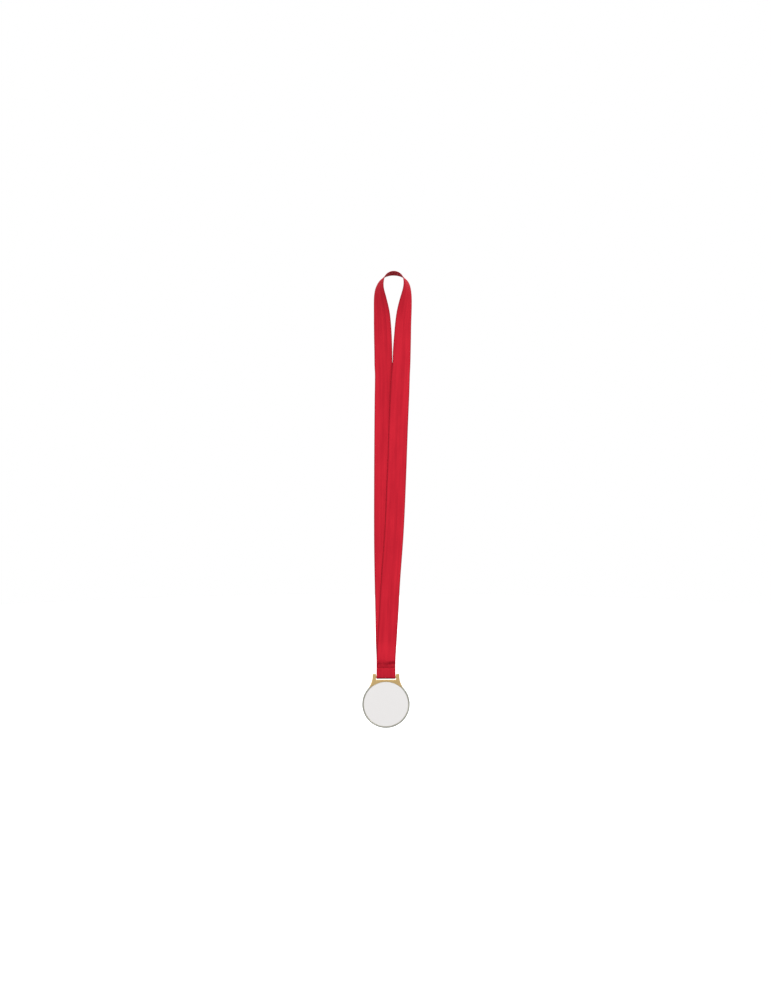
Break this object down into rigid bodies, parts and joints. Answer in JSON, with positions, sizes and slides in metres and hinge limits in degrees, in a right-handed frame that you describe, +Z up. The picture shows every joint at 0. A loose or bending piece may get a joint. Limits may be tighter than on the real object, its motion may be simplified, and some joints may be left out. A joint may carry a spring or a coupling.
{
  "type": "award medal",
  "caption": "Round cast award medal with a blank white printable insert, hung by its slotted hanger from a long sewn neck ribbon.",
  "frame": {"origin": "middle of the ribbon's inner face at the top of the neck loop, where the neck or a hook carries it", "axes": "+Z up as it hangs, -Y the way the printed face looks, +X to the right of someone who faces it"},
  "size_m": [0.0538, 0.02, 0.4793],
  "materials": {
    "ribbon": "red woven polyester ribbon with fine ribs and a slight sheen",
    "sewing_thread": "red polyester sewing thread",
    "gold_plating": "pale gold plating over zinc alloy, satin to polished",
    "white_coating": "white gloss coating on aluminium, ready for printing",
    "adhesive": "translucent double-sided adhesive sheet"
  },
  "bodies": {
    "neck_loop": {"ribbon_neck_arch": "ribbon", "ribbon_left_leg": "ribbon", "ribbon_right_leg": "ribbon"},
    "ribbon_middle": {"ribbon_back_swing_bend": "ribbon", "ribbon_front_swing_bend": "ribbon", "ribbon_back_middle": "ribbon", "ribbon_front_middle": "ribbon"},
    "ribbon_end": {"ribbon_back_twist_bend": "ribbon", "ribbon_front_twist_bend": "ribbon", "ribbon_back_end": "ribbon", "ribbon_front_end": "ribbon", "ribbon_end_loop": "ribbon", "seam_stitches": "sewing_thread"},
    "medal": {"medal_body": "gold_plating", "insert_adhesive": "adhesive", "insert_plate": "white_coating"}
  },
  "joints": [
    {"name": "ribbon_swing", "type": "hinge", "parent": "neck_loop", "child": "ribbon_middle", "pos_m": [-0.0012, 0, -0.1], "axis": [1, 0, 0], "range_deg": [-110, 110], "deforming": ["ribbon_back_swing_bend", "ribbon_front_swing_bend"]},
    {"name": "ribbon_twist", "type": "hinge", "parent": "ribbon_middle", "child": "ribbon_end", "pos_m": [-0.0081, 0, -0.16], "axis": [0, 0, 1], "range_deg": [-180, 180], "stiffness_Nm_per_rad": 0.00016, "deforming": ["ribbon_back_twist_bend", "ribbon_front_twist_bend"]},
    {"name": "medal_swing", "type": "hinge", "parent": "ribbon_end", "child": "medal", "pos_m": [-0.0081, 0, -0.4251], "axis": [1, 0, 0], "range_deg": [-110, 110]}
  ]
}
